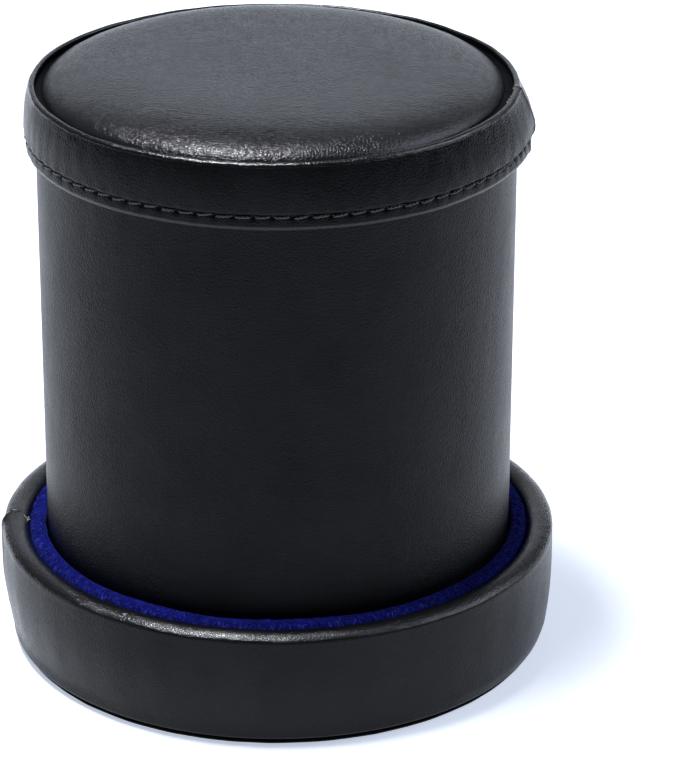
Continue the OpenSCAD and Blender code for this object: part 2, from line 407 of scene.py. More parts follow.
def arc(centre, rx, rz, start, end, steps=24):
    """Points on an elliptical arc in the profile plane, angles in degrees."""
    angles = np.radians(np.linspace(start, end, steps + 1))
    return np.stack([centre[0] + rx * np.cos(angles), centre[1] + rz * np.sin(angles)], -1)


def spaced(points, step):
    """The same line with points an even step apart, keeping both ends."""
    points = np.asarray(points, float)
    along = np.concatenate([[0], np.cumsum(np.hypot(*np.diff(points, axis=0).T))])
    count = max(1, int(round(along[-1] / step)))
    at = np.linspace(0, along[-1], count + 1)
    return np.stack([np.interp(at, along, points[:, k]) for k in (0, 1)], -1)


def outline(*stretches):
    """One closed outline from stretches of (points, step), in order, with doubled points left out."""
    joined = np.concatenate([spaced(points, step) for points, step in stretches])
    keep = np.hypot(*(joined - np.roll(joined, 1, axis=0)).T) > 1e-6
    return joined[keep]


def wave(theta, z, seed, terms=14, fastest=40, z_scale=0.006):
    """Smooth noise from -1 to 1 that closes on itself round the axis."""
    rng = np.random.default_rng(seed)
    total = 0
    for _ in range(terms):
        turns = rng.integers(1, fastest + 1)
        phase = rng.uniform(0, TAU)
        rise = rng.normal() / z_scale
        total = total + np.cos(turns * theta + rise * z + phase)
    return total / math.sqrt(terms * 2)


def past(theta, seam):
    """Angle from the seam, from -pi to pi."""
    return (theta - seam + math.pi) % TAU - math.pi


def columns(count, seam=None):
    """Azimuths for a lathe's columns, with fine ones on both sides of a seam's slit, where it steps."""
    if seam is None:
        return np.arange(count) * TAU / count
    fine = SEAM_SLIT + (SEAM_FINE - SEAM_SLIT) * (np.arange(SEAM_COLUMNS) / SEAM_COLUMNS) ** 1.5
    even = np.linspace(SEAM_FINE, TAU - SEAM_FINE, count)
    return seam + np.concatenate([fine, even, TAU - fine[::-1]])


def poled(points, profile, index):
    """Gathers each profile point on the axis into one pole."""
    for pole in np.nonzero(profile[:, 0] < ON_AXIS)[0]:
        index[:, pole] = index[0, pole]
        points[:, pole] = points[:, pole].mean(axis=0)


def turned(name, profile, around, material, shift=None, seam=None, lean=None, lit_and_shaded_copies=()):
    """A closed body of revolution.

    shift(theta, r, z) gives how far the surface moves, as (dr, dz). A seam is the azimuth of a lap in the
    leather, whose step shows the raw edge, and lean(z) turns it aside at each height. Each of
    lit_and_shaded_copies is (material, low, high, widest): a copy of the leather between two heights, inside
    a radius, whose reflection is raised for a painted highlight or taken away for painted shade."""
    profile = np.asarray(profile, float)
    area = np.sum(profile[:, 0] * np.roll(profile[:, 1], -1) - np.roll(profile[:, 0], -1) * profile[:, 1])
    if area < 0:
        profile = profile[::-1]
    grid_t, grid_r = np.meshgrid(columns(around, seam), profile[:, 0], indexing="ij")
    grid_z = np.broadcast_to(profile[:, 1], grid_r.shape).copy()
    dr, dz = (0, 0) if shift is None else shift(grid_t, grid_r, grid_z)
    moved_r = grid_r + dr * (grid_r > ON_AXIS)
    if lean is not None:
        grid_t = grid_t + lean(grid_z) * hump(past(grid_t, seam), LEAN_REACH)
    points = np.stack([moved_r * np.cos(grid_t), moved_r * np.sin(grid_t), grid_z + dz], -1)
    rows, count = grid_r.shape
    index = np.arange(rows * count).reshape(rows, count)
    poled(points, profile, index)
    a, b = index, np.roll(index, -1, axis=0)
    quads = np.stack([a, b, np.roll(b, -1, axis=1), np.roll(a, -1, axis=1)], -1).reshape(-1, 4)
    skin = np.zeros((rows, count), int)
    heights = (profile[:, 1] + np.roll(profile[:, 1], -1)) / 2
    for slot_index, (_, start, end, widest) in enumerate(lit_and_shaded_copies, 2):
        skin[:, (heights > start) & (heights < end) & (profile[:, 0] < widest)] = slot_index
    if seam is not None:
        skin[-1] = 1
    faces, slots = [], []
    for quad, slot_index in zip(quads.tolist(), skin.ravel().tolist()):
        corners = list(dict.fromkeys(quad))
        if len(corners) > 2:
            faces.append(corners)
            slots.append(slot_index)
    used = np.unique(np.concatenate([np.array(face) for face in faces]))
    renamed = np.zeros(rows * count, int)
    renamed[used] = np.arange(len(used))
    mesh = bpy.data.meshes.new(name)
    mesh.from_pydata(points.reshape(-1, 3)[used].tolist(), [], [renamed[face].tolist() for face in faces])
    for look in (material, MATERIALS["edge"], *(finish[0] for finish in lit_and_shaded_copies)):
        mesh.materials.append(look)
    mesh.polygons.foreach_set("material_index", np.array(slots, np.int32))
    return place(name, mesh)


def place(name, mesh):
    """Shades a mesh smooth except at its sharp edges, and puts it in the scene."""
    mesh.polygons.foreach_set("use_smooth", np.ones(len(mesh.polygons), bool))
    mesh.set_sharp_from_angle(angle=SHARP_EDGE)
    mesh.update()
    piece = bpy.data.objects.new(name, mesh)
    bpy.context.scene.collection.objects.link(piece)
    return piece


def tubes(name, paths, radii, material, sides=8):
    """One mesh of closed tubes. Each path is an array of points and each radii an array of as many radii."""
    points, faces = [], []
    ring = np.arange(sides) * TAU / sides
    for path, radius in zip(paths, radii):
        start = len(points)
        ahead = np.gradient(path, axis=0)
        ahead /= np.linalg.norm(ahead, axis=1)[:, None]
        side = np.cross(ahead, np.array([0.13, 0.21, 1.0]))
        side /= np.linalg.norm(side, axis=1)[:, None]
        over = np.cross(side, ahead)
        for k in range(len(path)):
            for angle in ring:
                points.append(path[k] + radius[k] * (math.cos(angle) * side[k] + math.sin(angle) * over[k]))
        for k in range(len(path) - 1):
            for j in range(sides):
                n = (j + 1) % sides
                a, b = start + k * sides, start + (k + 1) * sides
                faces.append((a + j, b + j, b + n, a + n))
        faces.append([start + j for j in range(sides)])
        faces.append([start + (len(path) - 1) * sides + j for j in reversed(range(sides))])
    mesh = bpy.data.meshes.new(name)
    mesh.from_pydata([tuple(p) for p in points], [], faces)
    mesh.materials.append(material)
    return place(name, mesh)


def settle(piece, body, slot, *nodes):
    """Puts a piece on its body and hides the CAD nodes that it stands for. Its slot is not used."""
    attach(piece, body)
    if nodes:
        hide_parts(*nodes)
    return piece


def lap(theta, seam, height, reach, over=1):
    """Extra height by a lapped seam: full on one side of it, thinning away, and a slight dent on the
    other. over is 1 where the side of greater azimuth lies on top, or -1."""
    away = over * past(theta, seam)
    far = np.abs(away)
    raised = height * (0.75 * np.exp(-far / reach) + 0.45 * np.exp(-far / LAP_CURL))
    dent = -0.6 * height * np.exp(-far / LAP_CURL)
    return np.where(away > 0, raised, dent)


def ripple(x, y, seed, terms=14, shortest=0.006, longest=0.04):
    """Smooth noise from about -1 to 1 over a plane, from waves of the given lengths."""
    rng = np.random.default_rng(seed)
    total = 0
    for _ in range(terms):
        turn = rng.uniform(0, TAU)
        pace = TAU / rng.uniform(shortest, longest)
        total = total + np.cos(pace * (x * math.cos(turn) + y * math.sin(turn)) + rng.uniform(0, TAU))
    return total / math.sqrt(terms * 2)


def hump(x, width):
    """1 at zero, falling away smoothly on both sides."""
    return np.exp(-((x / width) ** 2))


def smooth_step(x, start, end):
    """0 at start, 1 at end and smooth between them."""
    t = np.clip((x - start) / (end - start), 0, 1)
    return t * t * (3 - 2 * t)


# ---------------------------------------------------------------- lid

# Stitches: pitch, half a stitch's length, slant, a ply's radius and its offset in the twist
STITCH_PITCH = 3.1 * MM
STITCH_HALF = 1.22 * MM
STITCH_SLANT = math.radians(7)
THREAD_R = 0.15 * MM
PLY_OFFSET = 0.13 * MM
stitch_count = round(TAU * band_r / STITCH_PITCH)

# The crest is a thin ridge: its inner and outer rounds, how far the outer one turns, and its top
ROLL_IN = 0.38 * MM
ROLL_OUT = 0.75 * MM
ROLL_TURN = math.radians(21)
rim_r = band_r - 2.0 * MM
crest_z = rim_z + 0.12 * MM
# From this height up, the crest wears the copy of the leather with raised reflection, a painted highlight
BAND_CREST_Z = rim_z - 0.60 * MM
FLANGE = 0.4 * MM
# The hem: its thickness to the middle line, the round of its lower edge, and its lowest point
HEM_HALF = 0.45 * MM
HEM_ROUND = 0.7 * MM
hem_low_z = hem_z + 0.35 * MM
# The band's side hangs from the crest to its fold, just over the stitches
seam_in_r = band_r - 0.55 * MM
belly_z = stitch_z + 0.75 * MM
side_top_z = crest_z - ROLL_OUT * (1 - math.sin(ROLL_TURN))
side_lean = band_r - rim_r - ROLL_OUT * math.cos(ROLL_TURN)
CROWN_POWER = 6
# The pad is set a little towards -X, and so is the crest over the band's fold
PAD_SWAY = -0.6 * MM
BAND_SWAY = -0.4 * MM
# Near the band's seam the fold is fullest and the hem rises a little: how much, where and how far round
FOLD_BULGE = 0.6 * MM
FOLD_BULGE_AT = 0.0
FOLD_REACH = 0.40
HEM_RISE = 0.6 * MM
HEM_RISE_AT = 0.1
HEM_REACH = 0.6
# The lap in the band: its height sideways and upwards, and the angle over which it thins away
LID_LAP = 0.32 * MM
LID_LAP_UP = 0.22 * MM
LID_LAP_REACH = 0.16
# Needle holes: depth, place along the pitch and length, both in pitches. Then the leather drawn in between
HOLE_DEPTH = 0.20 * MM
HOLE_AT = 0.44
HOLE_LONG = 0.07
HOLE_TALL = 0.45 * MM
PUCKER = 0.05 * MM
PUCKER_TALL = 1.3 * MM
# Room between the lid's hem and the barrel, and the thickness of the leather turned in there
LID_GAP = 0.2 * MM
LID_TURN_IN = 0.4 * MM
LIP_ROUND = 0.3 * MM


def crown(radius, rise, steps=96):
    """Points over the pad, from its middle out and down to its seat."""
    x = np.sin(np.linspace(0, math.pi / 2, steps + 1))
    return np.stack([radius * x, seat_z + rise * np.sqrt(np.maximum(0, 1 - x**CROWN_POWER))], -1)


def lid_pad_shape(theta, r, z):
    """The pad's soft unevenness, above its seat, and its shift to one side."""
    x, y = r * np.cos(theta), r * np.sin(theta)
    soft = smooth_step(z, seat_z + 0.4 * MM, seat_z + 1.5 * MM)
    dz = soft * MM * (0.08 * ripple(x, y, 11, 10, 0.02, 0.06) + 0.006 * ripple(x, y, 12, 16, 0.004, 0.012))
    sway = PAD_SWAY * np.cos(theta) * smooth_step(r, 5 * MM, 25 * MM)
    return 0.04 * MM * soft * wave(theta, z, 13, 12, 30) + sway, dz


def build_pad():
    rise = pad_top_z - seat_z
    inner = crown(pad_r - SKIN, rise - SKIN, 24)
    shell = outline((crown(pad_r, rise), 0.45 * MM), (inner[::-1], 1.5 * MM))
    pad = turned("lid_pad", shell, 640, MATERIALS["pad"], lid_pad_shape)
    settle(pad, "lid", "lid_black_leather", "lid_pad_leather")
    core = outline(([(0, seat_z + 0.05 * MM)], 1), (inner[::-1], 1.0 * MM))
    foam = turned("lid_pad_filling", core, 180, MATERIALS["foam"])
    settle(foam, "lid", "white_foam", "lid_pad_foam")


def stitch_phase(theta):
    """Where a point is along its stitch pitch, from -0.5 to 0.5, with a stitch's middle at 0."""
    turns = theta * stitch_count / TAU
    return turns - np.round(turns)


def hem_rise(theta):
    return HEM_RISE * hump(past(theta, HEM_RISE_AT), HEM_REACH)


def band_side(inset, start, end, steps=24):
    """Points down the band's side, which leans in towards its crest."""
    u = np.linspace(start, end, steps + 1)
    return np.stack([band_r - inset - side_lean * u * u, belly_z + (side_top_z - belly_z) * u], -1)


def band_sway(theta, r, z):
    """The crest's shift to one side, which the fold does not share."""
    return BAND_SWAY * np.cos(theta) * smooth_step(z, belly_z, rim_z), 0 * z


def band_shape(theta, r, z):
    """Needle holes, puckers, waviness, the fuller fold and the lap, all on the band's outer side."""
    outside = smooth_step(r, band_r - 1.9 * MM, band_r - 1.2 * MM)
    over_top = smooth_step(z, belly_z, rim_z)
    under = 1 - smooth_step(z, belly_z, side_top_z)
    phase = stitch_phase(theta)
    holes = hump(np.abs(phase) - HOLE_AT, HOLE_LONG) * hump(z - stitch_z, HOLE_TALL)
    pucker = np.cos(TAU * phase) * hump(z - stitch_z, PUCKER_TALL)
    slow, quick = wave(theta, z, 21, 12, 20), wave(theta, z, 22, 18, 90, 0.002)
    fold = under * hump(past(theta, FOLD_BULGE_AT), FOLD_REACH)
    dr = PUCKER * pucker - HOLE_DEPTH * holes + MM * (0.06 * slow + 0.03 * quick) + FOLD_BULGE * fold
    dr = (dr + lap(theta, LID_SEAM, LID_LAP, LID_LAP_REACH, -1)) * outside + band_sway(theta, r, z)[0]
    wavy = wave(theta, 0 * z, 23, 10, 18) + 0.5 * wave(theta, 0 * z, 24, 12, 60)
    dz = (0.07 * MM * wavy + lap(theta, LID_SEAM, LID_LAP_UP, LID_LAP_REACH, -1)) * over_top
    return dr, dz + hem_rise(theta) * under


def band_lean(z):
    """The lid's lap runs from the crest, back over the side and then forward to the hem."""
    return np.interp(z, (stitch_z, belly_z, rim_z), np.radians((-6.0, 0.0, -1.5)))


def build_band():
    t = BAND_SKIN
    lip_z = cup_z1 - 0.1 * MM
    in_r = cup_r + LID_GAP
    hoop_in = in_r + LID_TURN_IN
    over = stitch_z + 0.8 * MM
    fold_at, fold_r = (seam_in_r, belly_z), band_r - seam_in_r
    fold_drop = belly_z - stitch_z - 0.25 * MM
    roll_r = rim_r - ROLL_IN
    roll_in_at, roll_out_at = (rim_r, crest_z - ROLL_IN), (rim_r, crest_z - ROLL_OUT)
    hem_at = (band_r - 0.75 * MM, hem_low_z + HEM_ROUND)
    lip_at = (in_r + LIP_ROUND, hem_low_z + LIP_ROUND)
    flange_r = pad_r - 0.5 * MM
    flange_z = seat_z + FLANGE
    turn = math.degrees(ROLL_TURN)
    shape = outline(
        ([(flange_r, seat_z), (flange_r, flange_z)], 0.3 * MM),
        ([(flange_r, flange_z), (roll_r, flange_z)], 0.3 * MM),
        (arc(roll_in_at, ROLL_IN, ROLL_IN, 180, 90), 0.16 * MM),
        (arc(roll_out_at, ROLL_OUT, ROLL_OUT, 90, turn), 0.16 * MM),
        (band_side(0, 1, 0), 0.24 * MM),
        (arc(fold_at, fold_r, fold_drop, 0, -90), 0.16 * MM),
        (arc(hem_at, HEM_HALF, 1.8 * MM, 60, 0), 0.18 * MM),
        (arc(hem_at, HEM_HALF, HEM_ROUND, 0, -90), 0.14 * MM),
        (arc(lip_at, LIP_ROUND, LIP_ROUND, 270, 180), 0.2 * MM),
        ([(in_r, lip_at[1]), (in_r, lip_z)], 1.5 * MM),
        ([(hoop_in, lip_z), (hoop_in, over)], 1.5 * MM),
        ([(band_r - t, over), (band_r - t, belly_z)], 1.5 * MM),
        (band_side(t, 0, 0.85), 1.0 * MM),
        ([(roll_r + t, side_top_z - 0.8 * MM), (roll_r + t, seat_z), (flange_r, seat_z)], 0.5 * MM),
    )
    # Copies of the band leather: painted highlight on the crest and on the hem, painted shade in the valley
    lit_and_shaded_copies = (
        (MATERIALS["band_crest_highlight"], BAND_CREST_Z, crest_z + MM, band_r),
        (MATERIALS["band_hem_highlight"], hem_z - MM, hem_low_z + HEM_ROUND, band_r),
        (MATERIALS["valley_shade"], seat_z, crest_z - 0.2 * MM, rim_r - 0.15 * MM),
    )
    look = MATERIALS["band"]
    band = turned("lid_band_leather", shape, 1020, look, band_shape, LID_SEAM, band_lean, lit_and_shaded_copies)
    settle(band, "lid", "lid_black_leather", "lid_band")
    line = np.concatenate([
        arc(roll_in_at, ROLL_IN, ROLL_IN, 180, 90),
        arc(roll_out_at, ROLL_OUT, ROLL_OUT, 90, turn),
        band_side(0, 1, 0),
        arc(fold_at, fold_r, fold_drop, 0, -60),
    ])
    hoop_out, board_r, board_z = high("lid_hoop").x, high("lid_board").x, low("lid_board").z
    core_r = roll_r + t + SLACK
    stuffing = outline(
        ([(core_r, seat_z), (core_r, side_top_z - 1.2 * MM)], 0.5 * MM),
        (band_side(t + SLACK, 0.78, 0), 1.0 * MM),
        ([(band_r - t - SLACK, over), (hoop_out, over)], 0.5 * MM),
        ([(hoop_out, board_z), (board_r, board_z), (board_r, seat_z)], 1.5 * MM),
    )
    core = turned("lid_rim_filling", stuffing, 200, MATERIALS["foam"], band_sway)
    settle(core, "lid", "white_foam", "lid_rim_padding")
    spans = ((0.0, 0.16), (0.17, 0.40), (0.43, 0.66), (0.70, 0.98))
    bead = seam_bead("lid_band_edge", line, LID_SEAM, band_lean, band_shape, -1, spans, 33)
    settle(bead, "lid", "lid_black_leather")


def build_loose_fibres():
    """A few pale ends of fibre caught by the laps."""
    rng = np.random.default_rng(35)
    u = np.linspace(0, 1, 5)
    # Azimuth, radius and height of each tuft, on its body
    tufts = {
        "lid": (
            (LID_SEAM - 0.035, rim_r - 0.75 * MM, rim_z - 0.25 * MM),
            (LID_SEAM - 0.12, pad_r + 0.5 * MM, seat_z + 0.5 * MM),
            (LID_SEAM - 0.16, pad_r + 0.4 * MM, seat_z + 0.5 * MM),
            (LID_SEAM - 0.09, pad_r + 0.6 * MM, seat_z + 0.6 * MM),
        ),
        "tray": (
            (TRAY_SEAM + 0.02, liner_out_r + 0.35 * MM, tray_top_z - 1.1 * MM),
            (TRAY_SEAM + 0.035, liner_out_r + 0.25 * MM, tray_top_z - 1.2 * MM),
        ),
    }
    for body, places in tufts.items():
        paths, radii = [], []
        for azimuth, r, z in places:
            for _ in range(3):
                turn, long = rng.uniform(0, TAU), rng.uniform(0.25, 0.5) * MM
                x = r + long * (u - 0.5) * math.cos(turn)
                at = azimuth + long * (u - 0.5) * math.sin(turn) / r
                up = z + 0.12 * MM * np.sin(math.pi * u) + rng.uniform(0, 0.15) * MM
                paths.append(np.stack([x * np.cos(at), x * np.sin(at), up], -1))
                radii.append(np.full(len(u), rng.uniform(0.04, 0.08) * MM))
        settle(tubes(body + "_loose_fibres", paths, radii, MATERIALS["fibre"], 5), body, "white_foam")


def seam_bead(name, line, seam, lean, shape, over, spans, seed):
    """The pale raw edge of a lap, showing in short lengths. line is the leather's outer profile, and spans
    are the shares of it where the edge shows."""
    rng = np.random.default_rng(seed)
    line = spaced(line, 0.12 * MM)
    paths, radii = [], []
    for start, end in spans:
        a, b = int(start * (len(line) - 1)), int(end * (len(line) - 1))
        r, z = line[a : b + 1].T
        theta = np.full(len(r), seam + over * 2 * SEAM_SLIT)
        dr, dz = shape(theta, r, z)
        jitter = np.convolve(rng.normal(size=len(r) + 4), np.ones(5) / 5, "valid")
        at = theta + lean(z + dz) + 0.0012 * jitter
        out, up = r + dr - 0.02 * MM, z + dz - 0.01 * MM
        paths.append(np.stack([out * np.cos(at), out * np.sin(at), up], -1))
        ends = np.sin(np.linspace(0.15, math.pi - 0.15, len(r))) ** 0.5
        radii.append(BEAD_R * ends * (1 + 0.35 * jitter))
    return tubes(name, paths, radii, MATERIALS["fibre"], 6)


def build_stitches():
    """Two plies of waxed thread twisted together, diving into the leather at both ends."""
    rng = np.random.default_rng(31)
    paths, radii = [], []
    u = np.linspace(-1, 1, 21)
    bow = np.sqrt(np.maximum(0, 1 - np.abs(u) ** 3.2))
    height = (-0.34 + 0.44 * bow) * MM
    fat = THREAD_R * (0.7 + 0.3 * bow)
    for i in range(stitch_count):
        slant = STITCH_SLANT + math.radians(rng.normal() * 2.5)
        long = STITCH_HALF * (1 + 0.05 * rng.normal())
        lift = rng.normal() * 0.05 * MM
        angle = i * TAU / stitch_count + u * long * math.cos(slant) / seam_in_r
        middle_z = stitch_z + lift + u * long * math.sin(slant) + hem_rise(angle)
        for ply in (0, math.pi):
            twist = u * 1.9 * math.pi + ply + 2.4 * i
            out = seam_in_r + 0.20 * MM + height + PLY_OFFSET * np.cos(twist)
            up = middle_z + PLY_OFFSET * np.sin(twist)
            paths.append(np.stack([out * np.cos(angle), out * np.sin(angle), up], -1))
            radii.append(fat)
    thread = tubes("lid_stitches", paths, radii, MATERIALS["thread"], 8)
    settle(thread, "lid", "black_thread", "lid_stitching")


# ---------------------------------------------------------------- cup

# The round of both lips, and how far the leather is turned in at the closed end
LIP = 0.6 * MM
CLOSED_TURN = 6 * MM
# The lap in the barrel: its height, and the angle over which it thins away
CUP_LAP = 0.12 * MM
CUP_LAP_REACH = 0.06


def cup_shape(theta, r, z):
    """The barrel's slight waviness and its lap, on its outer side."""
    outside = smooth_step(r, cup_r - 1.2 * MM, cup_r - 0.4 * MM)
    dr = 0.035 * MM * wave(theta, z, 41, 10, 7, 0.03) + 0.012 * MM * wave(theta, z, 42, 22, 60, 0.004)
    return outside * (dr + lap(theta, CUP_SEAM, CUP_LAP, CUP_LAP_REACH) - 0.02 * MM), 0 * z


def build_cup():
    lip = LIP
    in_r = low_r("cup_leather")
    bore = in_r + SKIN
    tube_r = cup_r - SKIN
    mouth_z = low("cup_lining").z
    turn_z = cup_z1 - CLOSED_TURN
    shape = outline(
        ([(in_r, mouth_z), (in_r, cup_z0 + lip)], 1.5 * MM),
        (arc((in_r + lip, cup_z0 + lip), lip, lip, 180, 270), 0.2 * MM),
        (arc((cup_r - lip, cup_z0 + lip), lip, lip, 270, 360), 0.2 * MM),
        ([(cup_r, cup_z0 + lip), (cup_r, cup_z1 - lip)], 0.62 * MM),
        (arc((cup_r - lip, cup_z1 - lip), lip, lip, 0, 90), 0.2 * MM),
        (arc((in_r + lip, cup_z1 - lip), lip, lip, 90, 180), 0.2 * MM),
        ([(in_r, cup_z1 - lip), (in_r, turn_z)], 1.5 * MM),
        ([(bore, turn_z), (bore, cup_z1 - SKIN)], 2 * MM),
        ([(tube_r, cup_z1 - SKIN), (tube_r, cup_z0 + SKIN)], 4 * MM),
        ([(bore, cup_z0 + SKIN), (bore, mouth_z)], 2 * MM),
    )
    barrel = turned("cup_barrel_leather", shape, 480, MATERIALS["cup"], cup_shape, CUP_SEAM)
    settle(barrel, "cup", "cup_black_leather", "cup_leather")


def napped(amount, seed):
    """Uneven nap: the surface of brushed cloth stands up and lies down in small tufts."""
    def shift(theta, r, z):
        rough = wave(theta, z + r, seed, 26, 260, 0.0012)
        tufts = wave(theta, z + r, seed + 1, 16, 60, 0.004)
        return amount * (0.6 * rough + 0.4 * tufts) * 0.5, amount * (0.5 * rough + 0.5 * tufts) * 0.5
    return shift


def build_disc(name, body, slot, node, look, step=1.1 * MM, around=220, nap=0.06 * MM, seed=61):
    """A round that stands for a CAD disc, inside it by its nap."""
    radius, z0, z1 = high(node).x - nap, low(node).z + nap, high(node).z - nap
    shape = outline(
        ([(0, z0), (radius, z0)], 4 * MM),
        ([(radius, z0), (radius, z1)], 0.3 * MM),
        ([(radius, z1), (0, z1)], step),
    )
    return settle(turned(name, shape, around, MATERIALS[look], napped(nap, seed)), body, slot, node)


def build_sleeve(name, node, seed, nap=0.05 * MM):
    """A tube of flannel that stands for a CAD ring of the cup."""
    outer, inner = high(node).x - nap, low_r(node) + nap
    z0, z1 = low(node).z + nap, high(node).z - nap
    shape = outline(([(inner, z1), (inner, z0)], 0.9 * MM), ([(outer, z0), (outer, z1)], 4 * MM))
    sleeve = turned(name, shape, 240, MATERIALS["flannel"], napped(nap, seed))
    return settle(sleeve, "cup", "blue_flannel", node)


def build_linings():
    build_sleeve("cup_lining_flannel", "cup_lining", 71)
    build_sleeve("compartment_lining_flannel", "compartment_lining", 73)
    rounds = (
        ("cup_end_round", "cup", "cup_end_flannel", 75),
        ("compartment_floor_round", "cup", "compartment_floor", 77),
        ("lid_lining_round", "lid", "lid_lining", 79),
        ("tray_floor_round", "tray", "tray_floor_flannel", 81),
    )
    for name, body, node, seed in rounds:
        build_disc(name, body, "blue_flannel", node, "flannel", seed=seed)
    pads = (("cup_end_pad", "cup", "cup_end_foam"), ("tray_floor_pad", "tray", "tray_floor_foam"))
    for name, body, node in pads:
        build_disc(name, body, "white_foam", node, "foam", 4 * MM, 96, 0.02 * MM)


# ---------------------------------------------------------------- tray

# The wall's foot is drawn in and turned under
FOOT_R = tray_r - 1.15 * MM
FOOT_TURN = 0.8 * MM
wall_base_z = tray_foot_z + SKIN
# The rim turns on a wide radius over its top, then on a tight one down its shoulder
TOP_ROUND = 3.0 * MM
EDGE_ROUND = 0.9 * MM
EDGE_TURN = 48
crest_top_z = tray_top_z - 0.25 * MM
# From this height up, the rim wears the copy of the leather with raised reflection, a painted highlight
TRAY_CREST_Z = crest_top_z - 0.95 * MM
shoulder_z = tray_top_z - 2.5 * MM
belly_top_z = shoulder_z - 4.5 * MM
# Its crest stands half way from the flannel ring to the wall
roll_in = 0.5 * (tray_r - liner_out_r)
crest_r = liner_out_r + roll_in
# Inside, the leather comes down to here, and under the base it is turned in this far
leg_z = high("tray_base_board").z + 5 * MM
base_r = high("tray_base_board").x
TURN_IN = 9 * MM
# The hand-fitted wall leans a little towards +X at its foot, over these heights
TRAY_SWAY = 0.35 * MM
SWAY_TOP_Z = 14 * MM
SWAY_LOW_Z = 2 * MM
# The lap in the wall: its height sideways and upwards, and the angle over which it thins away
TRAY_LAP = 0.35 * MM
TRAY_LAP_UP = 0.25 * MM
TRAY_LAP_REACH = 0.09
# The flannel ring: its thickness, the round of its top, and where it is highest, close to the cup
LINER_SKIN = 0.75 * MM
LINER_ROUND = 1.1 * MM
LINER_LEAN = 0.3
LINT_COUNT = 900
SOLE_ROUND = 0.35 * MM


def tray_wall(inset, start, end, steps=20):
    """Points on the wall's gentle belly, from its foot up."""
    u = np.linspace(start, end, steps + 1)
    radius = FOOT_R - inset + (tray_r - FOOT_R) * np.sin(u * math.pi / 2)
    return np.stack([radius, wall_base_z + (belly_top_z - wall_base_z) * u], -1)


def tray_rim(inset):
    """Points over the tray's rim, from its crest out to its wall."""
    turn = math.radians(EDGE_TURN)
    top_at = (crest_r, crest_top_z - TOP_ROUND)
    run = TOP_ROUND - EDGE_ROUND
    edge_at = (top_at[0] + run * math.cos(turn), top_at[1] + run * math.sin(turn))
    over = arc(top_at, TOP_ROUND - inset, TOP_ROUND - inset, 90, EDGE_TURN)
    down = arc(edge_at, EDGE_ROUND - inset, EDGE_ROUND - inset, EDGE_TURN, 0)
    return np.concatenate([over, down])


def tray_shape(theta, r, z):
    """The wall's unevenness, its lap and its sway, fading out at the foot and inside the rim."""
    outside = smooth_step(r, liner_out_r + 0.3 * MM, crest_r)
    free = outside * smooth_step(z, tray_foot_z, tray_foot_z + 2.5 * MM)
    body = 0.10 * MM * wave(theta, z, 51, 10, 9, 0.02) + 0.05 * MM * wave(theta, z, 52, 16, 40, 0.006)
    over_top = smooth_step(z, shoulder_z, tray_top_z)
    sway = TRAY_SWAY * smooth_step(z, SWAY_TOP_Z, SWAY_LOW_Z) * np.cos(theta)
    dr = free * (body * (1 - 0.6 * over_top) + lap(theta, TRAY_SEAM, TRAY_LAP, TRAY_LAP_REACH) + sway)
    dz = 0.07 * MM * wave(theta, 0 * z, 53, 12, 22) + lap(theta, TRAY_SEAM, TRAY_LAP_UP, TRAY_LAP_REACH)
    return dr, dz * over_top * outside


def tray_lean(z):
    """The tray's lap runs straight over the rim and slants across the wall."""
    return np.interp(z, (tray_foot_z, shoulder_z, tray_top_z), np.radians((6.0, 4.5, 0.0)))


def build_tray_leather():
    t = SKIN
    turn_in = base_r - TURN_IN
    roll_at = (crest_r, crest_top_z - roll_in)
    hoop_in, hoop_z = liner_out_r + t, high("tray_hoop").z
    shape = outline(
        ([(turn_in, tray_foot_z), (FOOT_R - FOOT_TURN, tray_foot_z)], 1.5 * MM),
        (arc((FOOT_R - FOOT_TURN, wall_base_z), FOOT_TURN, t, -90, 0), 0.2 * MM),
        (tray_wall(0, 0, 1), 0.45 * MM),
        (tray_rim(0)[::-1], 0.22 * MM),
        (arc(roll_at, roll_in, roll_in, 90, 180), 0.22 * MM),
        ([(liner_out_r, roll_at[1]), (liner_out_r, leg_z)], 2 * MM),
        ([(hoop_in, leg_z), (hoop_in, roll_at[1])], 2 * MM),
        (arc(roll_at, roll_in - t, roll_in - t, 180, 90), 1 * MM),
        (tray_rim(t), 1 * MM),
        (tray_wall(t, 1, 0), 2 * MM),
        ([(FOOT_R - t, wall_base_z), (turn_in, wall_base_z)], 3 * MM),
    )
    # The rim's copy of the leather with raised reflection: a painted highlight along its top
    lit_and_shaded_copies = ((MATERIALS["tray_crest_highlight"], TRAY_CREST_Z, tray_top_z + MM, tray_r),)
    look = MATERIALS["tray"]
    wall = turned("tray_wall_leather", shape, 760, look, tray_shape, TRAY_SEAM, tray_lean, lit_and_shaded_copies)
    settle(wall, "tray", "tray_black_leather", "tray_leather")
    line = np.concatenate([arc(roll_at, roll_in, roll_in, 150, 90), tray_rim(0), tray_wall(0, 1, 0)])
    spans = ((0.01, 0.05), (0.09, 0.13), (0.15, 0.19), (0.30, 0.42), (0.55, 0.62), (0.80, 0.86))
    bead = seam_bead("tray_wall_edge", line, TRAY_SEAM, tray_lean, tray_shape, 1, spans, 59)
    settle(bead, "tray", "tray_black_leather")
    stuffing = outline(
        ([(hoop_in, hoop_z)], 1),
        (arc(roll_at, roll_in - t, roll_in - t, 180, 90), 0.6 * MM),
        (tray_rim(t), 0.6 * MM),
        (tray_wall(t, 1, 0), 2 * MM),
        ([(base_r, wall_base_z), (base_r, hoop_z)], 4 * MM),
    )
    pad = turned("tray_wall_filling", stuffing, 200, MATERIALS["foam"])
    settle(pad, "tray", "white_foam", "tray_padding")


